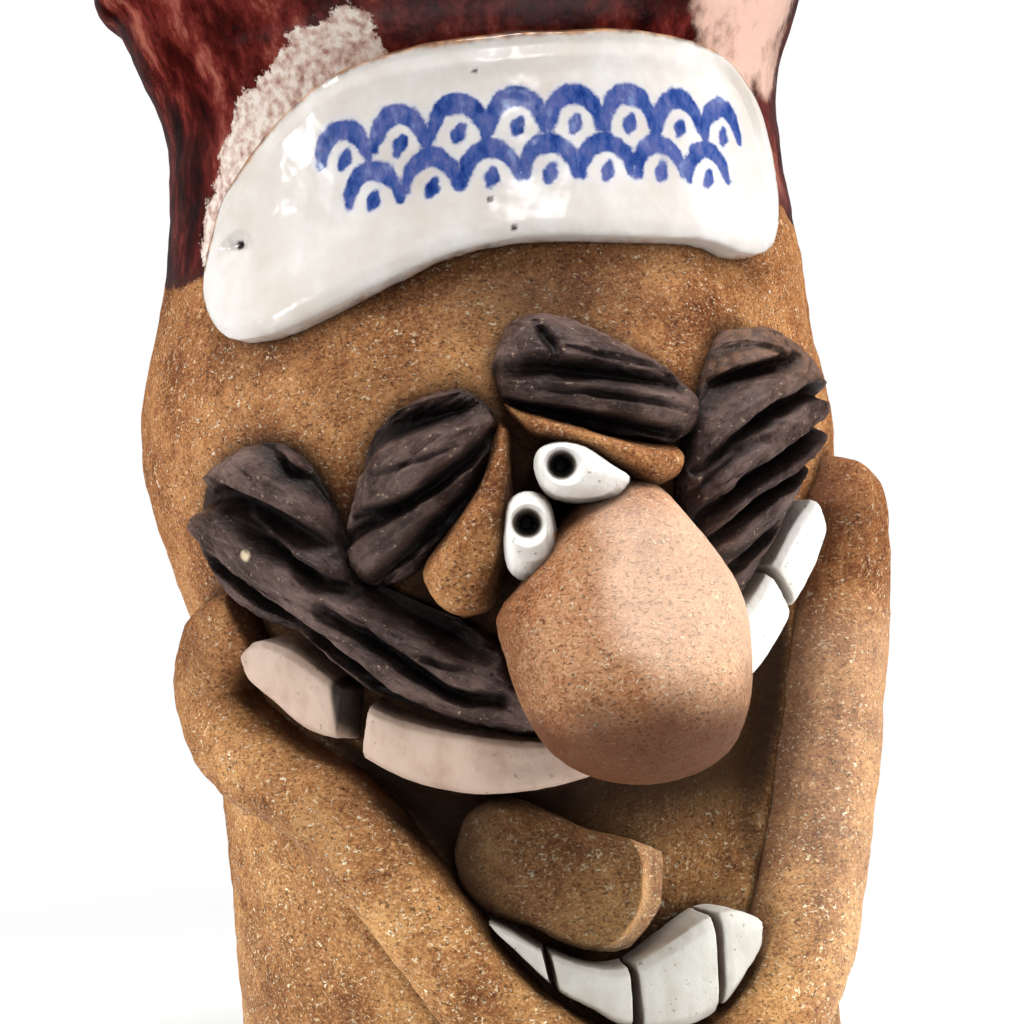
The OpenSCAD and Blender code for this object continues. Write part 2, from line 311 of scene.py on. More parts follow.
class Shader:
    """A node material with a Principled surface and short calls for its nodes."""

    def __init__(self, name, **constants):
        self.material = bpy.data.materials.new(name)
        self.material.use_nodes = True
        self.tree = self.material.node_tree
        self.surface = self.tree.nodes["Principled BSDF"]
        for socket, value in constants.items():
            self.surface.inputs[socket.replace("_", " ")].default_value = value
        self.place = self.math_v("SCALE", self.node("TexCoord").outputs["Object"], 1 / MM)

    def node(self, kind, **settings):
        made = self.tree.nodes.new("ShaderNode" + kind)
        for key, value in settings.items():
            setattr(made, key, value)
        return made

    def plug(self, socket, value):
        if isinstance(value, bpy.types.NodeSocket):
            self.tree.links.new(value, socket)
        elif value is not None:
            socket.default_value = value

    def math(self, operation, a, b):
        made = self.node("Math", operation=operation)
        self.plug(made.inputs[0], a)
        self.plug(made.inputs[1], b)
        return made.outputs[0]

    def math_v(self, operation, a, b):
        made = self.node("VectorMath", operation=operation)
        self.plug(made.inputs[0], a)
        self.plug(made.inputs["Scale"] if operation == "SCALE" else made.inputs[1], b)
        return made.outputs["Value" if operation == "LENGTH" else 0]

    def noise(self, scale, detail=3.0, where=None, colour=False, rough=0.55):
        made = self.node("TexNoise")
        self.plug(made.inputs["Vector"], where or self.place)
        made.inputs["Scale"].default_value = scale
        made.inputs["Detail"].default_value = detail
        made.inputs["Roughness"].default_value = rough
        return made.outputs["Color" if colour else "Fac"]

    def uneven(self, size, scale, detail, rough=0.55):
        """Noise about zero, times size."""
        return self.math("MULTIPLY", self.math("SUBTRACT", self.noise(scale, detail, rough=rough), 0.5), size)

    def swirl(self, scale, size):
        """The place, carried about by noise."""
        shift = self.math_v("SUBTRACT", self.noise(scale, 2, colour=True), (0.5, 0.5, 0.5))
        return self.math_v("ADD", self.place, self.math_v("SCALE", shift, size))

    def mark(self, name):
        """One of the values that the mesh carries for each point."""
        return self.node("Attribute", attribute_name=name).outputs["Fac"]

    def rise(self, value, low, high, to_low=0.0, to_high=1.0):
        made = self.node("MapRange", interpolation_type="SMOOTHSTEP")
        for socket, v in zip(made.inputs, (value, low, high, to_low, to_high)):
            self.plug(socket, v)
        return made.outputs[0]

    def mix(self, share, a, b, blend="MIX"):
        """Colours a and b mixed."""
        made = self.node("Mix", data_type="RGBA", blend_type=blend)
        self.plug(made.inputs[0], share)
        self.plug(made.inputs[6], a)
        self.plug(made.inputs[7], b)
        return made.outputs[2]

    def between(self, share, a, b):
        """Numbers a and b mixed."""
        made = self.node("Mix", data_type="FLOAT")
        self.plug(made.inputs[0], share)
        self.plug(made.inputs[2], a)
        self.plug(made.inputs[3], b)
        return made.outputs[0]

    def ramp(self, value, stops):
        made = self.node("ValToRGB")
        self.plug(made.inputs[0], value)
        points = made.color_ramp.elements
        while len(points) < len(stops):
            points.new(0.5)
        for point, (at, colour) in zip(points, stops):
            point.position = at
            point.color = (*colour, 1)
        return made.outputs[0]

    def stretched(self, where, lengths, turn=0.0):
        """Drawn out by lengths along X, Y and Z, then turned about Y."""
        made = self.node("Mapping", vector_type="TEXTURE")
        self.plug(made.inputs["Vector"], where)
        made.inputs["Rotation"].default_value = (0, turn, 0)
        made.inputs["Scale"].default_value = lengths
        return made.outputs[0]

    def bump(self, height, depth_mm):
        made = self.node("Bump")
        made.inputs["Distance"].default_value = depth_mm * MM
        made.inputs["Strength"].default_value = 1.0
        self.plug(made.inputs["Height"], height)
        return made.outputs[0]

    def crease(self, reach_mm):
        """How open a place is to its surroundings: 1 in the clear, towards 0 deep in a crease."""
        made = self.node("AmbientOcclusion", samples=6)
        made.inputs["Distance"].default_value = reach_mm * MM
        return made.outputs["AO"]

    def end(self, colour, roughness, normal):
        self.plug(self.surface.inputs["Base Color"], colour)
        self.plug(self.surface.inputs["Roughness"], roughness)
        self.plug(self.surface.inputs["Normal"], normal)
        return self.material


def rgb(*colour):
    return (*colour, 1)


def grog(s, where, scale, share, soft=0.05):
    """Ragged specks of fired grit that cover about a share of the clay."""
    level = 0.5 + 0.3 * (0.5 - share)
    return s.rise(s.noise(scale, 2, where=where, rough=0.6), level, level + soft)


# ---------------------------------------------------------------- materials

# Clay colours from dark to pale, and the near-black of the painted deep shade
BROWN = ((0.14, 0.043, 0.014), (0.29, 0.112, 0.038), (0.46, 0.215, 0.080), (0.68, 0.40, 0.18))
WARM = ((0.24, 0.078, 0.027), (0.40, 0.165, 0.066), (0.54, 0.275, 0.135), (0.78, 0.52, 0.33))
DEEP_SHADE_COLOUR = (0.016, 0.007, 0.003, 1)


def stoneware_layers(s, tones):
    """Colour, height and grain of speckled stoneware. tones go from dark to pale."""
    where = s.stretched(s.swirl(0.9, 0.8), (1.0, 1.0, 0.72))
    apart = s.math_v("ADD", where, (37.0, 11.0, 5.0))
    broad = s.noise(0.07, 5, rough=0.62)
    close = s.noise(0.5, 6, rough=0.8)
    base = s.ramp(s.math("ADD", s.math("MULTIPLY", broad, 0.6), s.math("MULTIPLY", close, 0.4)),
                  [(0.39, tones[0]), (0.49, tones[1]), (0.59, tones[2])])
    grain = s.noise(2.0, 4, where=where, rough=0.75)
    base = s.mix(s.rise(grain, 0.5, 0.72, 0, 0.55), base, rgb(*tones[3]))
    base = s.mix(s.rise(grain, 0.52, 0.3, 0, 0.8), base, rgb(*[c * 0.35 for c in tones[0]]))
    iron = grog(s, apart, 1.6, 0.17, 0.07)
    base = s.mix(s.math("MULTIPLY", iron, 0.68), base, rgb(0.050, 0.020, 0.009))
    # Pale grit, thicker in some places than in others
    pale = s.ramp(s.noise(0.8, 1, where=apart),
                  [(0.36, (0.55, 0.27, 0.11)), (0.46, (0.70, 0.46, 0.25)), (0.56, (0.86, 0.72, 0.52))])
    thick = s.rise(s.noise(0.16, 3, where=apart), 0.38, 0.62, 0.45, 1.0)
    fine = s.math("MULTIPLY", grog(s, where, 1.8, 0.2, 0.07), thick)
    coarse = s.math("MULTIPLY", grog(s, apart, 1.0, 0.06, 0.04), thick)
    base = s.mix(s.math("MULTIPLY", fine, 0.62), base, pale)
    base = s.mix(s.math("MULTIPLY", coarse, 0.8), base, pale)
    # Paler towards the foot, and painted shade in the creases
    split = s.node("SeparateXYZ")
    s.plug(split.inputs[0], s.place)
    low = s.rise(s.math("ADD", split.outputs["Z"], s.math("MULTIPLY", broad, 30.0)), 112, 62)
    base = s.mix(low, base, rgb(1.26, 1.42, 1.42), "MULTIPLY")
    base = s.mix(s.rise(s.crease(7), 0.9, 0.3, 0, 0.85), base, rgb(0.022, 0.010, 0.005))
    grit = s.math("MULTIPLY", s.math("ADD", fine, coarse), 0.35)
    height = s.math("ADD", s.math("MULTIPLY", grain, 0.7), grit)
    return base, s.math("SUBTRACT", height, s.math("MULTIPLY", iron, 0.5)), grain


def stoneware(name, tones, rough):
    """Bare stoneware, with painted light, painted shade and near-black painted shade where the mesh says."""
    s = Shader(name, Specular_IOR_Level=0.12)
    base, height, grain = stoneware_layers(s, tones)
    # Painted light, painted shade and near-black painted shade, each where the mesh marks it
    base = s.mix(s.mark("painted_light"), base, rgb(0.84, 0.64, 0.50))
    base = s.mix(s.mark("painted_shade"), base, rgb(0.075, 0.022, 0.009))
    base = s.mix(s.mark("painted_deep_shade"), base, DEEP_SHADE_COLOUR)
    roughness = s.rise(grain, 0.3, 0.75, rough - 0.1, rough + 0.2)
    return s.end(base, roughness, s.bump(height, 0.2))


def pot_glaze(name):
    """Stoneware below, and a glossy dark red-brown glaze over the collar and rim."""
    s = Shader(name, Specular_IOR_Level=0.1, Coat_Roughness=0.06)
    base, height, grain = stoneware_layers(s, BROWN)
    # Near-black painted shade where the mesh marks it
    base = s.mix(s.mark("painted_deep_shade"), base, DEEP_SHADE_COLOUR)
    edge = s.math("ADD", s.mark("glaze"), s.uneven(5.0, 0.25, 4))
    glazed = s.rise(edge, -0.35, 0.35)
    tone = s.ramp(s.noise(0.11, 6, where=s.stretched(s.place, (1, 1, 1.8)), rough=0.7),
                  [(0.36, (0.010, 0.002, 0.002)), (0.47, (0.045, 0.005, 0.004)),
                   (0.56, (0.13, 0.018, 0.014)), (0.66, (0.32, 0.095, 0.065))])
    tone = s.mix(s.rise(edge, 3.2, 0.2, 0, 0.65), tone, rgb(0.05, 0.016, 0.012))
    # Milky blotches, and a paler pinkish side on the right of the collar
    pale = s.rise(s.math("ADD", s.mark("mottle"), s.uneven(2.2, 0.3, 5, 0.7)), 0.5, 0.66)
    milk = s.ramp(s.noise(0.7, 4),
                  [(0.3, (0.30, 0.14, 0.11)), (0.48, (0.58, 0.44, 0.37)), (0.6, (0.72, 0.64, 0.57))])
    tone = s.mix(pale, tone, milk)
    pale_side = s.math("ADD", s.mark("thin"), s.uneven(1.6, 0.12, 5, 0.65))
    tone = s.mix(s.rise(pale_side, 0.45, 0.95, 0, 0.85), tone, rgb(0.82, 0.54, 0.43))
    roughness = s.between(glazed, s.rise(grain, 0.3, 0.75, 0.44, 0.7), s.rise(pale, 0, 1, 0.12, 0.38))
    s.plug(s.surface.inputs["Coat Weight"], s.math("MULTIPLY", glazed, 0.35))
    flow = s.math("MULTIPLY", s.noise(0.5, 2), 1.2)
    height = s.between(glazed, height, s.math("ADD", flow, 0.8))
    return s.end(s.mix(glazed, base, tone), roughness, s.bump(height, 0.18))


def dark_clay(name, turn):
    """Dark brown clay combed along one direction, given as a turn about Y, with near-black painted shade in
    its grooves and creases.
    """
    s = Shader(name, Specular_IOR_Level=0.28)
    combed = s.stretched(s.swirl(0.7, 1.2), (3.4, 1, 1), turn)
    fibre = s.noise(1.9, 4, where=combed, rough=0.7)
    base = s.ramp(s.noise(0.16, 4), [(0.34, (0.030, 0.014, 0.010)), (0.5, (0.066, 0.036, 0.029)),
                                     (0.66, (0.135, 0.084, 0.070))])
    base = s.mix(s.rise(fibre, 0.5, 0.7, 0, 0.6), base, rgb(0.17, 0.12, 0.105))
    base = s.mix(s.rise(fibre, 0.47, 0.32, 0, 0.75), base, rgb(0.008, 0.005, 0.005))
    grit = grog(s, s.place, 1.3, -0.02, 0.03)
    base = s.mix(s.math("MULTIPLY", grit, 0.6), base, rgb(0.42, 0.30, 0.20))
    tan = s.math("MULTIPLY", s.mark("tip"), s.rise(s.noise(0.7, 4), 0.4, 0.62, 0.2, 0.9))
    base = s.mix(tan, base, rgb(0.20, 0.105, 0.062))
    base = s.mix(s.mark("lump"), base, rgb(0.62, 0.50, 0.34))
    # Near-black painted shade in the grooves and between the strands, then in the creases
    base = s.mix(s.math("MULTIPLY", s.mark("painted_groove_shade"), 0.9), base, rgb(0.004, 0.0025, 0.0025))
    base = s.mix(s.rise(s.crease(3.5), 0.85, 0.4, 0, 0.85), base, rgb(0.005, 0.003, 0.003))
    height = s.math("ADD", fibre, s.math("MULTIPLY", grit, 0.3))
    roughness = s.rise(fibre, 0.3, 0.75, 0.36, 0.62)
    return s.end(base, roughness, s.bump(height, 0.3))


def white_clay(name, pale, shade):
    """Smooth white or cream clay with faint smears, a few specks and painted shade in its creases."""
    s = Shader(name, Specular_IOR_Level=0.2)
    smear = s.noise(0.22, 4, where=s.stretched(s.place, (1, 1, 1.6)), rough=0.6)
    base = s.ramp(smear, [(0.32, shade), (0.56, pale)])
    grit = grog(s, s.place, 0.9, -0.13, 0.02)
    base = s.mix(s.math("MULTIPLY", grit, 0.6), base, rgb(0.22, 0.15, 0.10))
    # Painted shade in the creases, then near-black painted shade where the mesh marks it
    base = s.mix(s.rise(s.crease(4), 0.8, 0.3, 0, 0.8), base, rgb(0.10, 0.045, 0.02))
    base = s.mix(s.mark("painted_deep_shade"), base, rgb(0.008, 0.006, 0.005))
    base = s.mix(s.mark("rust"), base, rgb(0.42, 0.17, 0.05))
    grain = s.noise(1.4, 4, rough=0.65)
    return s.end(base, s.rise(grain, 0.3, 0.7, 0.34, 0.52), s.bump(grain, 0.10))


def banner_glaze(name):
    """Glossy off-white glaze with a brown edge line and cobalt brush strokes."""
    s = Shader(name, Specular_IOR_Level=0.5, Coat_Weight=0.3, Coat_Roughness=0.1)
    base = s.ramp(s.noise(0.09, 4, rough=0.6),
                  [(0.3, (0.56, 0.50, 0.445)), (0.5, (0.62, 0.58, 0.54)), (0.66, (0.69, 0.665, 0.635))])
    ink = s.math("ADD", s.mark("ink"), s.uneven(1.6, 0.5, 4, 0.6))
    wash = s.noise(0.33, 5, where=s.stretched(s.place, (0.65, 1, 1.25)), rough=0.65)
    blue = s.ramp(wash, [(0.3, (0.004, 0.022, 0.15)), (0.46, (0.010, 0.050, 0.24)),
                         (0.58, (0.035, 0.055, 0.25)), (0.7, (0.09, 0.16, 0.38))])
    base = s.mix(s.rise(ink, 0.9, -0.2, 0, 0.3), base, rgb(0.45, 0.52, 0.72))
    stroke = s.math("MULTIPLY", s.rise(ink, 0.25, -0.3), s.rise(wash, 0.3, 0.75, 1.0, 0.85))
    base = s.mix(stroke, base, blue)
    line = s.math("ADD", s.mark("edge"), s.uneven(1.2, 0.4, 3))
    rim = s.ramp(s.noise(0.5, 2), [(0.35, (0.10, 0.035, 0.012)), (0.65, (0.45, 0.20, 0.07))])
    base = s.mix(s.rise(line, 1.0, 0.1, 0, 0.9), base, rim)
    base = s.mix(s.mark("pin"), base, rgb(0.02, 0.014, 0.01))
    return s.end(base, 0.16, s.bump(s.noise(0.22, 2), 0.2))


# ---------------------------------------------------------------- the pot

# Outline of the open mouth on the wall, clockwise from its left corner, and how deep it is cut
MOUTH = ((-42, 77), (-34, 72), (-26, 69), (-16, 65), (-8, 63.5), (2, 63), (12, 65), (24, 69), (34, 74),
         (44, 79), (52, 85), (58, 88), (60, 78), (56, 68), (48, 54), (40, 43), (33, 35), (24, 30), (13, 31),
         (5, 34), (-4, 42), (-14, 53), (-24, 62), (-34, 70))
MOUTH_MM = 2.8
# The height that the glaze reaches down to, outside and inside
GLAZE_Z = 139.5
INNER_GLAZE_Z = 168.0


def around():
    """Angles around the pot in radians, closer together across the face."""
    face = np.linspace(-80, 80, 270, endpoint=False)
    back = np.linspace(80, 280, 130, endpoint=False)
    return np.radians(np.concatenate([face, back]))


def inner_profile(heights):
    """The pot's inner radii at these heights in mm, from the CAD node."""
    tree = cad_tree("pot_body")
    return [tree.ray_cast(Vector((0.0003, 0, z * MM)), Vector((0, 1, 0)))[0].y / MM for z in heights]


def pot_rows():
    """The thrown section as (radius, height) from the foot's middle, up, over the rim and down to
    the floor's middle. Also the first row of the outer wall, of the rim's bead and of the inside."""
    foot = [(r, 0.0) for r in (0.4, 8, 16, 24, 32, 38)] + [(WALL_R[0] - 0.6, 0.15)]
    outer = [(float(wall_r(z)), z) for z in np.linspace(0.8, RIM_Z - BEAD_R + 0.3, 132)]
    bead = [(BEAD_AT + BEAD_R * math.cos(a), RIM_Z + BEAD_R * math.sin(a))
            for a in np.radians(np.linspace(-55, 205, 18))]
    down = np.linspace(RIM_Z - 3.5, 11, 40)
    inner = list(zip(inner_profile(down), down))
    corner = inner[-1][0]
    floor = [(corner - 1, 8.2), (corner - 4, FLOOR_MM + 0.4)] + [(r, FLOOR_MM) for r in (24, 12, 0.4)]
    starts = np.cumsum([len(foot), len(outer), len(bead)])
    return np.array(foot + outer + bead + inner + floor), starts


def in_mouth(angle, height):
    """How far places lie inside the open mouth in mm, negative outside it."""
    places = np.stack([np.radians(angle) * FACE_R, height], 1)
    outline = np.array(MOUTH, float) * (math.radians(1) * FACE_R, 1)
    deep = inside(places, outline)
    deep[np.abs(angle) > 75] = -99
    return deep


def thrown(points, outside, bead, within, deep):
    """How far a thrower's hand moved each point outwards, in mm."""
    z = points[:, 2]
    # Throwing rings wander in depth and height; the rim only ever gets thinner
    wave = z + 0.8 * lumps(points * (0.4, 0.4, 0.1), 9)
    rings = (np.sin(wave * 2 * math.pi / 3.7) * (0.5 + 0.5 * lumps(points * (0.3, 0.3, 1), 14))
             + 0.7 * np.sin(wave * 2 * math.pi / 8.3))
    soft = 0.45 * lumps(points, 24) + 0.16 * lumps(points + 9, 7) + 0.05 * lumps(points + 5, 2.2)
    wall = (0.09 * rings + soft) * ease((RIM_Z - z) / 8) * ease(z / 4) - MOUTH_MM * ease((deep + 0.5) / 3.5)
    lining = -(0.35 * rings + 0.4) * ease((RIM_Z - z) / 12) * ease((z - 12) / 6)
    rim = -np.abs(0.35 * lumps(points, 16))
    return np.select([outside, within, bead], [wall, lining, rim], 0)


def pot_painted_shade(points, angle, deep):
    """Painted shade on the pot's outside, 0 to 1."""
    z = points[:, 2]
    # Near-black painted shade in the hollow to the left of the tongue, under the front teeth and beside the
    # lip
    hollow = 3 * patch(angle, z, (-18, 60), (12, 11)) + 0.36 + 0.6 * ease((z - 48) / 14)
    hollow = np.clip(hollow, 0, 0.985) * ease((deep + 2) / 3)
    beside_lip = 0.75 * np.exp(-((angle - 45.4 - (z - 49) * 0.13) / 3.2)**2)
    beside_lip *= ease((z - 40) / 8) * ease((92 - z) / 6)
    tooth_gap = 0.9 * patch(angle, z, (-27, 74), (4, 6))
    # Painted shade on the forehead, and between the brows down to the eyes
    forehead = 0.72 * patch(angle, z, (8, 128.5), (21, 7))
    temple = 0.3 * patch(angle, z, (-14, 119), (14, 8))
    between_eyes = 0.9 * patch(angle, z, (1.5, 106), (3.2, 8))
    socket = 0.97 * patch(angle, z, (-11, 89), (9, 6.5))
    # Painted shade all round the pieces pressed on
    pressed = ("lip", "moustache_left", "moustache_right", "brow_left", "brow_right", "eyelid_left")
    contact = 0.62 * np.exp(-(gap_to(points, pressed) / 1.9)**2)
    return np.maximum.reduce([hollow, beside_lip, tooth_gap, forehead, temple, between_eyes, socket, contact])


def pot_glaze_marks(angle, z, outside, bead):
    """How far above its lower edge the glaze is in mm, where it is milky, and where it is paler on the right
    of the collar.
    """
    level = GLAZE_Z + 3 * np.sin(np.radians(angle) * 2 + 0.6) + 1.3 * np.sin(np.radians(angle) * 7)
    glaze = np.where(outside | bead, z - level, z - INNER_GLAZE_Z)
    places = np.stack([np.radians(angle) * FACE_R, z], 1)
    beside, _, _ = to_line(places, bend([(-52, 141), (-46, 150), (-37, 157), (-27, 161.5), (-18, 164)]))
    above_banner = ease((8 - beside) / 6) * ease((75 - np.abs(angle)) / 5)
    behind = 0.6 * ease((z - 158 - 4 * np.sin(np.radians(angle) * 3)) / 6) * ease((172 - z) / 6)
    behind *= ease((np.abs((angle - 180) % 360 - 180) - 75) / 25)
    thin = ease((angle - 34) / 14) * ease((92 - angle) / 26) * ease((z - 151) / 9) * ease((182 - z) / 8)
    return {"glaze": glaze, "mottle": outside * np.maximum(above_banner, behind), "thin": outside * thin}


def pot(material):
    """The hollow pot, thrown afresh along the CAD wall."""
    rows, (outer_row, bead_row, inner_row) = pot_rows()
    turn = around()
    n = len(turn)
    r = np.repeat(rows[:, 0], n)
    z = np.repeat(rows[:, 1], n)
    a = np.tile(turn, len(rows))
    row = np.repeat(np.arange(len(rows)), n)
    outside = (row >= outer_row) & (row < bead_row)
    bead = (row >= bead_row) & (row < inner_row)
    points = np.stack([r * np.sin(a), -r * np.cos(a), z], 1)
    angle, _ = polar(points)
    deep = in_mouth(angle, z)
    marks = pot_glaze_marks(angle, z, outside, bead)
    # Painted shade on the outside
    marks["painted_deep_shade"] = outside * pot_painted_shade(points, angle, deep)
    shift = thrown(points, outside, bead, row >= inner_row, deep)
    points = points + np.stack([np.sin(a) * shift, -np.cos(a) * shift, 0 * a], 1)
    faces = []
    for i in range(len(rows) - 1):
        for j in range(n):
            k = (j + 1) % n
            faces.append((i * n + j, i * n + k, (i + 1) * n + k, (i + 1) * n + j))
    faces += [tuple(range(n - 1, -1, -1)), tuple((len(rows) - 1) * n + j for j in range(n))]
    finish_piece("pot_body", points, faces, material, marks)


# ---------------------------------------------------------------- the banner

def banner_middle(angle):
    """Height of the middle of the banner's painted band."""
    return 149.2 - 2.6 * ((angle - 14) / 36)**2


def brush_marks():
    """Painted rows of wave scallops with a dab in each: (line, half width)."""
    marks = []
    for count, first, lift, width in ((8, -20, 0.8, 1.5), (7, -15.5, -5.6, 1.35)):
        for k in range(count):
            middle = first + 9.1 * k
            height = banner_middle(middle) + lift
            arch = [(middle - 4.1 * math.cos(t), height + 4.6 * math.sin(t))
                    for t in np.linspace(0.1, math.pi - 0.1, 9)]
            dab = [(middle - 0.5, height - 0.3), (middle, height + 0.6), (middle + 0.5, height + 1.5)]
            marks += [(arch, width), (dab, 1.1)]
    return marks


# The banner's upper edge, its curled right end and a dent at its left: (line, half width, depth)
BANNER_FOLDS = (
    ([(-47, 141), (-38, 149), (-26, 157), (-12, 160.5), (4, 161.2), (20, 161.5), (36, 161)], 1.6, 0.45),
    ([(45, 158.5), (51, 155), (54, 149), (54.5, 141)], 1.8, 0.9),
    ([(-42.5, 138.5), (-40.5, 139), (-38.5, 138.5)], 1.9, 1.3))
# Where its glaze has broken to brown along the upper and lower edges
BANNER_TOP = ((-49, 137), (-46.5, 145), (-40, 150.5), (-32, 156), (-22, 160.5), (-11, 162.5), (2, 163.3),
              (27, 163.7), (46, 161.5), (53, 158.5), (58, 153.5), (59.5, 146))
BANNER_LOW = ((-48.5, 133.5), (-45, 128.5), (-40, 125.5), (-33, 125.5), (-26, 127), (-17, 130), (-6, 133.4),
              (5, 135), (27, 134.2), (45, 132), (53, 133.5))
# Pinholes in the glaze: angle, height and radius
PINHOLES = ((2.2, 141.2, 0.45), (5.4, 137.1, 0.4), (-40.5, 139, 0.7), (1.5, 158.2, 0.35))


def banner(material):
    points, faces = refined("banner_plaque", 0.4, 3)
    places = flat(points)
    points = worked(points, faces, 0.22, 0.05)
    points, _ = carve(points, BANNER_FOLDS)
    points = bed(points, 1.0)
    ink = np.full(len(points), 9.0)
    for line, width in brush_marks():
        distance, share, _ = to_line(places, bend(line))
        ink = np.minimum(ink, distance - width * (0.55 + 0.45 * np.sin(np.pi * share)))
    top, _, _ = to_line(places, bend(BANNER_TOP))
    low, _, _ = to_line(places, bend(BANNER_LOW))
    pins = np.zeros(len(points))
    for spot, height, size in PINHOLES:
        away = np.hypot(places[:, 0] - math.radians(spot) * FACE_R, places[:, 1] - height)
        pins = np.maximum(pins, ease((size - away) / 0.25 + 0.5))
    marks = {"ink": ink, "edge": np.minimum(top - 0.6, low + 0.4), "pin": pins}
    finish_piece("banner_plaque", points, faces, material, marks)


# ---------------------------------------------------------------- face pieces

# Grooves between the strands of the moustache and brows: (line, half width, depth)
MOUSTACHE_LEFT = (
    ([(-35.5, 112), (-31, 108.5), (-27.5, 106), (-24.5, 103), (-22, 100)], 1.5, 4),
    ([(-52, 104), (-43.5, 105.5), (-38, 104), (-33, 101.5), (-28, 99), (-23.5, 96.5)], 2.3, 6),
    ([(-40, 102.5), (-35, 99), (-30, 96), (-26, 92.5), (-23, 90.5)], 1.5, 4.5),
    ([(-51, 100), (-48, 98), (-41.5, 93.5), (-35, 89), (-28, 84.5), (-24, 81.5), (-18.5, 76.5),
      (-12.5, 73.5)], 1.35, 4.5),
    ([(-26.5, 89), (-22, 86), (-17.5, 83), (-13, 79.5), (-7.5, 76.5), (-2, 75.5)], 1.3, 4),
    ([(-23, 92.5), (-19, 91), (-15, 88), (-9.5, 85), (-4, 82)], 2.6, 6),
    ([(-15, 83), (-9, 80.5), (-3, 79)], 0.8, 1.5),
    ([(-44, 90.5), (-36, 87.5), (-30, 83)], 0.7, 1))
MOUSTACHE_RIGHT = (
    ([(30, 114), (34.5, 118.5), (39, 119.5), (42.5, 118.5)], 0.9, 1.8),
    ([(31, 112), (34.5, 115), (37.5, 116), (45, 117.5)], 1.5, 4),
    ([(29, 103.5), (32, 106), (37, 109.5), (42, 111.5), (47, 113), (54, 112.5)], 1.3, 4),
    ([(28, 100.5), (32.5, 104.5), (36.5, 107)], 0.8, 2),
    ([(28.5, 95), (30, 97), (35, 101), (41.5, 104.5), (50, 108), (56, 109.5)], 1.45, 5),
    ([(28.5, 98), (32.5, 101), (36.5, 104)], 0.6, 1.2),
    ([(30, 93), (37, 98.5), (43, 101), (50, 104.5), (55, 106.5)], 1.2, 4),
    ([(34, 89), (38, 92.5), (43, 96)], 1.0, 2.5))
BROW_LEFT = (
    ([(-19, 108), (-17, 110.5), (-12.5, 112), (-8, 113), (-2, 114)], 2.3, 6.5),
    ([(-23.5, 97.5), (-17.5, 100), (-13.5, 101.5), (-8, 104.5), (-3.5, 107.5), (0, 110.5)], 1.2, 3.8),
    ([(-19, 92.5), (-12.5, 96.5), (-7.5, 100), (-1, 103.5)], 1.2, 3.4),
    ([(-19.5, 101), (-17, 101.5), (-14, 102)], 1.0, 3),
    ([(-16, 106), (-10, 107.5), (-5, 109)], 0.6, 1))
BROW_RIGHT = (
    ([(1, 118.5), (7, 118.2), (12.5, 117.2), (19, 116), (26, 114.5)], 1.7, 4.5),
    ([(1, 114.3), (6.5, 112.9), (13.5, 111.1), (25, 108.5)], 1.0, 3.2),
    ([(6.8, 124), (8.2, 121), (8.6, 119.5)], 0.8, 2.2),
    ([(6, 115.6), (14, 114.2), (26, 111.5)], 0.6, 1.3),
    ([(10, 120.5), (17, 118.5), (24, 116.8)], 0.6, 1.2))


def strands(points, turn):
    """Torn ridges running along one direction: how deep each point lies between them, 0 to 1."""
    places = flat(points)
    along = places @ (math.cos(turn), -math.sin(turn))
    across = places @ (math.sin(turn), math.cos(turn))
    wander = 1.2 * lumps(np.stack([along, across, 0 * along], 1), 11)
    coarse = lumps(np.stack([along * 0.22, (across + wander) * 0.8, 0 * along + 7], 1), 1.6)
    close = lumps(np.stack([along * 0.3, (across + wander) * 1.0, 0 * along + 19], 1), 0.8)
    return 0.65 * (1 - np.abs(coarse))**3 + 0.35 * (1 - np.abs(close))**2


def hairy(name, grooves, turn):
    """A brow or half of the moustache: torn dark clay, scored lengthwise."""
    material = dark_clay(name + "_clay", turn)
    points, faces = refined(name, 0.27, 2)
    points = worked(points, faces, 0.15, 0.12, 0.08, 0.1)
    rows = strands(points, turn)
    points = push_in(points, 0.75 * rows * ease((stand_off(points) - 1.5) / 2))
    points, painted_groove_shade = carve(points, grooves, 0.9)
    points = worked(points, faces, 0, 0.06, 0.06, 0)
    points = bed(points, 1.2)
    # Near-black painted shade deep in the cut grooves and between the strands
    painted_groove_shade = np.maximum(painted_groove_shade, 0.45 * ease((rows - 0.55) / 0.35))
    places = flat(points)
    angle, _ = polar(points)
    lump, tip = np.zeros(len(points)), np.zeros(len(points))
    if name == "moustache_left":
        away = np.hypot(places[:, 0] + math.radians(37) * FACE_R, places[:, 1] - 97)
        lump = ease((1.0 - away) / 0.5)
        tip = 0.6 * ease((-41 - angle) / 6) * ease((points[:, 2] - 100) / 5)
    if name == "moustache_right":
        tip = 0.8 * ease((points[:, 2] - 112) / 6)
    marks = {"lump": lump, "tip": tip, "painted_groove_shade": painted_groove_shade}
    finish_piece(name, points, faces, material, marks)


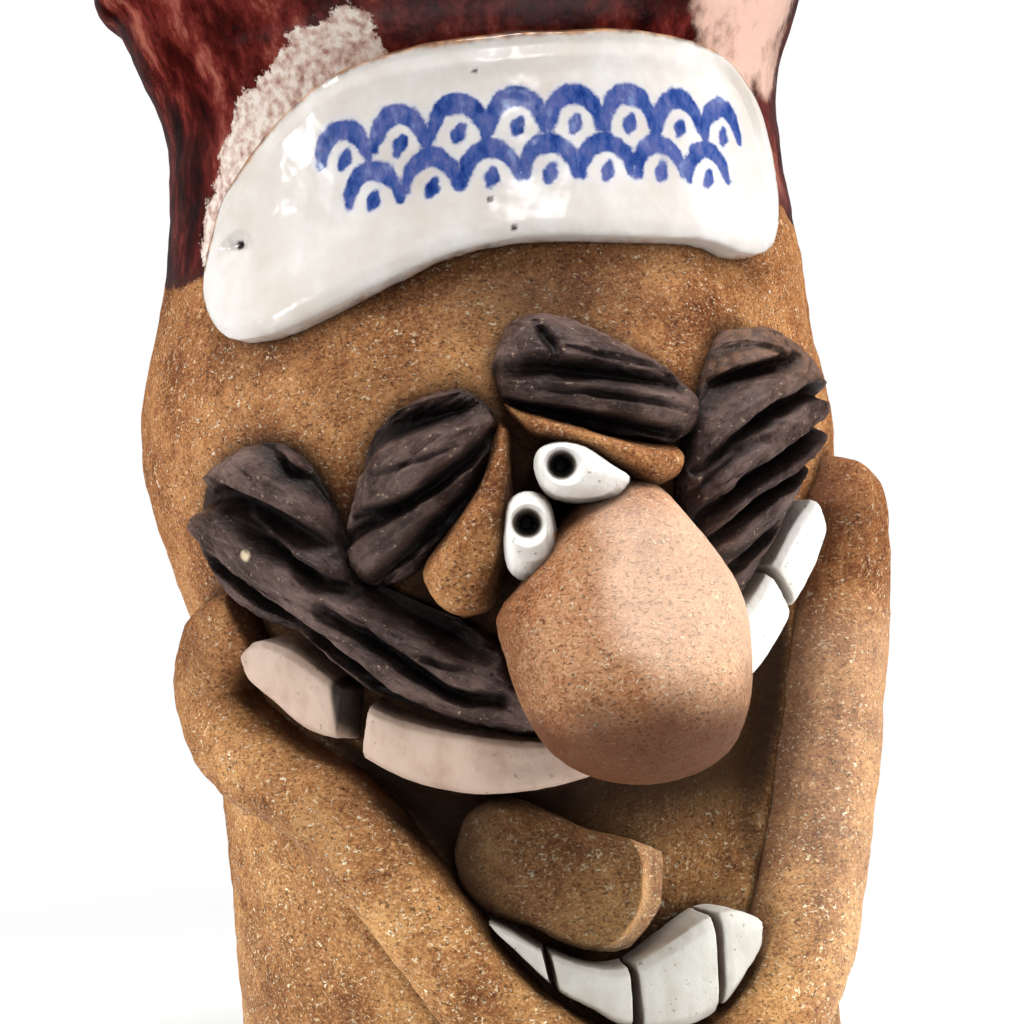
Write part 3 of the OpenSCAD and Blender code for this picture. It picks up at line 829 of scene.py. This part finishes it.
def lip_marks(points):
    """Painted shade on the lip's shoulders, left cheek and flanks, with a little random variation, and
    painted light on its lower right side.
    """
    angle, _ = polar(points)
    z = points[:, 2]
    out = stand_off(points)
    # Painted shade on the right and left shoulders, the left cheek and the flanks
    right = 0.55 * patch(angle, z, (61, 97), (8, 8))
    left = 0.35 * patch(angle, z, (-57, 85), (8, 6))
    cheek = 0.3 * patch(angle, z, (-32, 60), (11, 9))
    side = 0.5 * ease((5.5 - out) / 5)
    # Near-black painted shade on the edge that faces the dark hollow left of the tongue
    hollow = 0.95 * ease((7 - out) / 5) * patch(angle, z, (-20, 58), (9, 8))
    # Painted shade with a little random variation, painted light on the lower right, and near-black painted
    # shade
    return {"painted_shade": np.clip(right + left + cheek + side + 0.12 * lumps(points, 12), 0, 0.75),
            "painted_light": 0.14 * ease((angle - 35) / 20) * ease((88 - z) / 12), "painted_deep_shade": hollow}


def eyelid_marks(points):
    """Painted shade down the sides of an eyelid."""
    return {"painted_shade": 0.5 * ease((5 - stand_off(points)) / 4)}


def tooth_marks(points):
    """Painted shade, with some dirt, in the gap between the upper left tooth and the front teeth."""
    angle, _ = polar(points)
    gap = ease((angle + 28.9) / 0.9) * ease((-25.2 - angle) / 0.9)
    return {"painted_deep_shade": 0.93 * gap * ease((points[:, 2] - 66) / 3)}


def nose_marks(points):
    """Painted light on the bridge to the right of a ridge; painted shade on the left side and the underside.
    """
    x, z = points[:, 0], points[:, 2]
    wander = 1.2 * lumps(points, 5)
    ridge = 11 + 6 * ease((86 - z) / 10)
    right = ease((x - ridge + 2 + wander) / 6)
    lit = right * ease((z - 70 + wander) / 15)
    below = ease((80.5 - z + 1.5 * wander) / 10)
    left = (1 - right) * (0.30 + 0.35 * ease((6 - x) / 9))
    return {"painted_light": 0.4 * lit * ease((104 - z) / 8), "painted_shade": np.maximum(0.9 * below, left)}


def clay_piece(name, material, voxel, big, small, rounds=3, marks=None, inset=0.1):
    """A plain piece of clay: voxel and lumps in mm, rounds of smoothing, and a function for its marks."""
    points, faces = refined(name, voxel, rounds)
    points = worked(points, faces, big, small, 0.05, inset)
    points = bed(points, 1.2)
    finish_piece(name, points, faces, material, marks(points) if marks else None)


# The tongue's front face ends along this line, and its cut edge slopes away from there
TONGUE_EDGE = [(17, 55.8), (17.4, 51.8), (16.2, 46.8), (13, 43.2), (8.5, 41)]


def tongue(material):
    """A slab with painted shade over its front, and a cut edge along its lower right with a little painted
    light.
    """
    points, faces = refined("tongue", 0.26, 2)
    points = worked(points, faces, 0.3, 0.2, 0.06)
    distance, _, side = to_line(flat(points), bend(TONGUE_EDGE))
    beyond = np.clip(distance * side / 2.6, 0, 1)
    left = ease((5 - polar(points)[0]) / 18)
    cut = np.maximum(stand_off(points) - 1.5, 0)
    points = push_in(points, cut * (0.75 * beyond + 0.35 * left))
    points = bed(points, 1.2)
    # Painted shade over the front, darker to the left, and a little painted light on the cut edge
    painted_deep_shade = (0.6 + 0.35 * left) * (1 - ease(beyond * 4))
    marks = {"painted_deep_shade": painted_deep_shade, "painted_light": 0.1 * ease(beyond * 2)}
    finish_piece("tongue", points, faces, material, marks)


def eye(name, x, z, material, rust=None):
    """An eye pressed on as a pellet and poked: its pupil is a funnel at x and z, with painted shade deep
    inside.
    rust is the place of a small rusty speck."""
    front_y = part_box(name)[0][1] / MM
    points, faces = refined(name, 0.2, 2)
    points = worked(points, faces, 0.16, 0.12, 0.03)
    away = np.hypot(points[:, 0] - x, points[:, 2] - z)
    in_front = ease((front_y + 4 - points[:, 1]) / 2)
    points[:, 1] += 1.5 * ease((3.0 - away) / 1.6) * in_front
    points = bed(points, 1.2)
    # Painted shade deep in the pupil's funnel
    dark = ease((2.0 - away) / 0.9) * ease((points[:, 1] - front_y - 0.7) / 1.2)
    spot = np.zeros(len(points))
    if rust:
        spot = ease((0.55 - np.hypot(points[:, 0] - rust[0], points[:, 2] - rust[1])) / 0.3)
    finish_piece(name, points, faces, material, {"painted_deep_shade": dark, "rust": spot})


# ---------------------------------------------------------------- the room

# Strength of the room's own light
ROOM_LIGHT = 0.17
# Where the pale floor starts and ends its fade into the white room, in metres
FADE = (0.16, 0.42)


def floor_material():
    s = Shader("pale_floor", Roughness=0.6)
    tone = s.ramp(s.noise(0.01, 3), [(0.3, (0.86, 0.86, 0.855)), (0.7, (0.90, 0.90, 0.895))])
    s.end(tone, 0.6, s.bump(s.noise(0.9, 2), 0.05))
    away = s.math_v("LENGTH", s.place, None)
    clear = s.node("BsdfTransparent")
    both = s.node("MixShader")
    s.plug(both.inputs[0], s.rise(away, FADE[0] / MM, FADE[1] / MM))
    s.tree.links.new(s.surface.outputs[0], both.inputs[1])
    s.tree.links.new(clear.outputs[0], both.inputs[2])
    s.tree.links.new(both.outputs[0], s.tree.nodes["Material Output"].inputs["Surface"])
    return s.material


def room():
    """A plain pale floor that fades out into a white room."""
    n = 72
    radii = np.linspace(0.01, FADE[1] + 0.02, 16) / MM
    turn = np.radians(np.arange(n) * 360 / n)
    points = np.array([(r * math.cos(a), r * math.sin(a), 0) for r in radii for a in turn])
    faces = [(i * n + j, (i + 1) * n + j, (i + 1) * n + (j + 1) % n, i * n + (j + 1) % n)
             for i in range(len(radii) - 1) for j in range(n)] + [tuple(range(n))]
    floor = build("floor", points, faces, {})
    floor.data.materials.append(floor_material())


def area_light(name, place, size, watts, glints=True):
    """A round lamp aimed at the pot's middle. Without glints it isn't mirrored in the glaze."""
    light = bpy.data.lights.new(name, "AREA")
    light.shape = "DISK"
    light.size = size
    light.energy = watts
    lamp = bpy.data.objects.new(name, light)
    lamp.location = place
    lamp.rotation_euler = (Vector(place) - Vector((0, 0, 0.1))).to_track_quat("Z", "Y").to_euler()
    lamp.visible_glossy = glints
    bpy.context.scene.collection.objects.link(lamp)


def camera():
    """The photographed view: level, from straight in front, tipped a little clockwise."""
    data = bpy.data.cameras.new("camera")
    data.lens = 93.75
    data.sensor_width = 36
    made = bpy.data.objects.new("camera", data)
    made.location = (0.00156, -0.4, 0.1)
    tip = Matrix.Rotation(math.atan(0.0789), 3, "Y")
    made.rotation_euler = (tip @ Matrix.Rotation(math.pi / 2, 3, "X")).to_euler()
    bpy.context.scene.collection.objects.link(made)
    bpy.context.scene.camera = made


def world():
    """White to look at, and a softer light than it looks."""
    made = bpy.data.worlds.new("studio")
    made.use_nodes = True
    tree = made.node_tree
    background = tree.nodes["Background"]
    background.inputs["Color"].default_value = rgb(1, 1, 1)
    seen = tree.nodes.new("ShaderNodeLightPath")
    where = tree.nodes.new("ShaderNodeTexCoord")
    split = tree.nodes.new("ShaderNodeSeparateXYZ")
    tree.links.new(where.outputs["Generated"], split.inputs[0])
    sky = tree.nodes.new("ShaderNodeMapRange")
    sky.inputs["From Min"].default_value = -0.15
    sky.inputs["From Max"].default_value = 0.5
    sky.inputs["To Min"].default_value = 0.0
    sky.inputs["To Max"].default_value = ROOM_LIGHT
    tree.links.new(split.outputs["Z"], sky.inputs["Value"])
    level = tree.nodes.new("ShaderNodeMapRange")
    level.inputs["To Max"].default_value = 1.0
    tree.links.new(sky.outputs[0], level.inputs["To Min"])
    tree.links.new(seen.outputs["Is Camera Ray"], level.inputs["Value"])
    tree.links.new(level.outputs[0], background.inputs["Strength"])
    bpy.context.scene.world = made


# ---------------------------------------------------------------- the scene

def main():
    pot(pot_glaze("speckled_stoneware"))
    banner(banner_glaze("white_banner_glaze"))
    clay = stoneware("face_clay", BROWN, 0.55)
    skin = stoneware("burnished_clay", WARM, 0.42)
    hairy("moustache_left", MOUSTACHE_LEFT, 0.52)
    hairy("moustache_right", MOUSTACHE_RIGHT, -0.62)
    hairy("brow_left", BROW_LEFT, -0.55)
    hairy("brow_right", BROW_RIGHT, 0.2)
    clay_piece("eyelid_left", clay, 0.28, 0.3, 0.25, marks=eyelid_marks)
    clay_piece("eyelid_right", clay, 0.28, 0.3, 0.25, marks=eyelid_marks)
    clay_piece("nose", skin, 0.35, 0.3, 0.08, marks=nose_marks, inset=0.35)
    tongue(clay)
    clay_piece("lip", clay, 0.42, 0.45, 0.25, marks=lip_marks)
    cream = white_clay("cream_clay", (0.55, 0.41, 0.33), (0.44, 0.31, 0.24))
    white = white_clay("white_clay", (0.84, 0.825, 0.78), (0.72, 0.70, 0.64))
    dull = white_clay("dull_white_clay", (0.62, 0.605, 0.55), (0.52, 0.50, 0.44))
    for name in ("tooth_upper_left", "tooth_upper_front"):
        clay_piece(name, cream, 0.25, 0.2, 0.12, rounds=1, marks=tooth_marks)
    for name in ("tooth_upper_right_inner", "tooth_upper_right_outer"):
        clay_piece(name, white, 0.22, 0.15, 0.12, rounds=1, inset=0.02)
    for name in ("tooth_lower_1", "tooth_lower_2", "tooth_lower_3", "tooth_lower_4"):
        clay_piece(name, dull, 0.22, 0.15, 0.12, rounds=1, inset=0.02)
    eye("eye_left", 3.4, 98.4, white, (7.0, 96.6))
    eye("eye_right", 8.3, 105.5, white)
    room()
    area_light("top", (0.1, -0.3, 0.8), 0.35, 7)
    area_light("left", (-0.75, 0, 0.2), 0.8, 7.4, glints=False)
    area_light("right", (0.75, 0, 0.25), 0.8, 9, glints=False)
    area_light("front", (0.25, -0.8, 0.5), 0.25, 1.1)
    area_light("streak", (-0.66, -0.4, 0.3), 0.12, 0.9)
    world()
    camera()
    bpy.context.scene.view_settings.view_transform = "Standard"


main()
